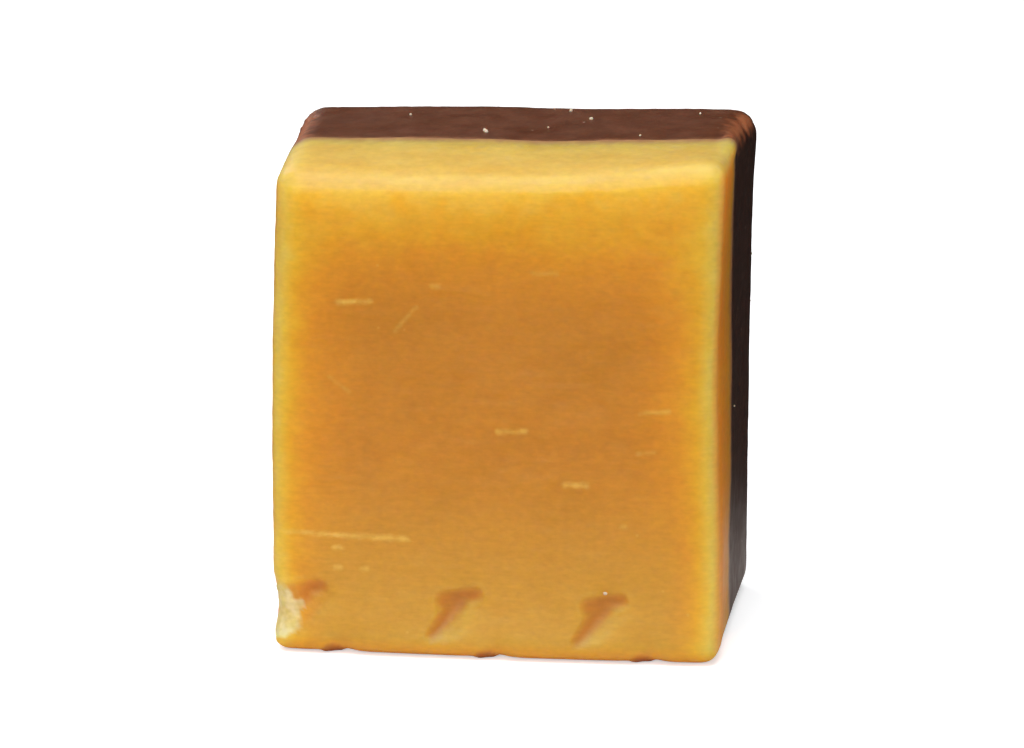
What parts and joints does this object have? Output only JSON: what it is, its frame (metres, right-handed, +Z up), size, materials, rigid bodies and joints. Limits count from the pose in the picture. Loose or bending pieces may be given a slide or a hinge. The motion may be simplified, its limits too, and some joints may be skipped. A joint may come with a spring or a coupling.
{
  "type": "fudge cube",
  "caption": "Block of soft two-layer fudge, caramel on chocolate, cut with rounded edges and stood on a cut side with its caramel face forward.",
  "frame": {"origin": "middle of the footprint, on the surface that the block stands on", "axes": "+Z up, along the height of the broad faces; -Y out of the caramel face and +Y out of the chocolate face; +X along the width"},
  "size_m": [0.0266, 0.0176, 0.0288],
  "materials": {
    "caramel": "soft caramel fudge: golden ochre, paler at the edges where light passes through, satin with fine drag lines",
    "chocolate": "soft chocolate fudge: dark warm brown, satin, with a thin dusty bloom and a redder rim on worn edges"
  },
  "bodies": {
    "root": {"caramel_layer": "caramel", "chocolate_layer": "chocolate"}
  },
  "joints": []
}
